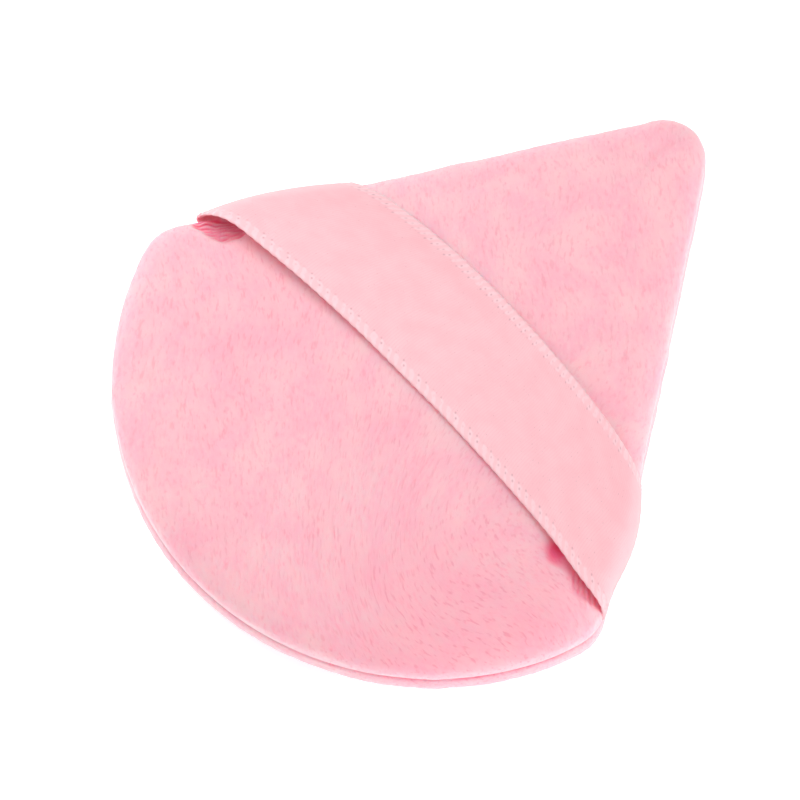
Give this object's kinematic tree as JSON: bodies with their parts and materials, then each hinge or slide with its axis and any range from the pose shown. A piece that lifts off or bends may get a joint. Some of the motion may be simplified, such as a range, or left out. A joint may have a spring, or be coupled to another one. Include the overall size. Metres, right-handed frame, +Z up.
{
  "type": "powder puff",
  "caption": "Drop-shaped velour powder puff with a foam filling, a sewn edge seam and a satin ribbon across its back that lifts for the fingers.",
  "frame": {"origin": "under the middle of the pad's length and width, on the surface that the pad rests on", "axes": "+X along the ribbon to the pad's right, +Y from the wide round end to the narrow tip, +Z up through the pad to the ribbon"},
  "size_m": [0.0706, 0.08, 0.0131],
  "materials": {
    "velour": "matte",
    "satin": "satin",
    "foam": "matte",
    "thread": "satin"
  },
  "bodies": {
    "pad": {"top_cover": "velour", "bottom_cover": "velour", "foam_core": "foam", "ribbon_end_right": "satin", "ribbon_end_left": "satin", "seam_thread_wide_end": "thread", "seam_thread_tip": "thread", "closing_thread": "thread", "ribbon_tack_right": "thread", "ribbon_tack_left": "thread"},
    "ribbon": {"ribbon_span": "satin"}
  },
  "joints": [
    {"name": "strap_lift", "type": "slide", "parent": "pad", "child": "ribbon", "axis": [0, 0, 1], "range_m": [0, 0.0077]}
  ]
}
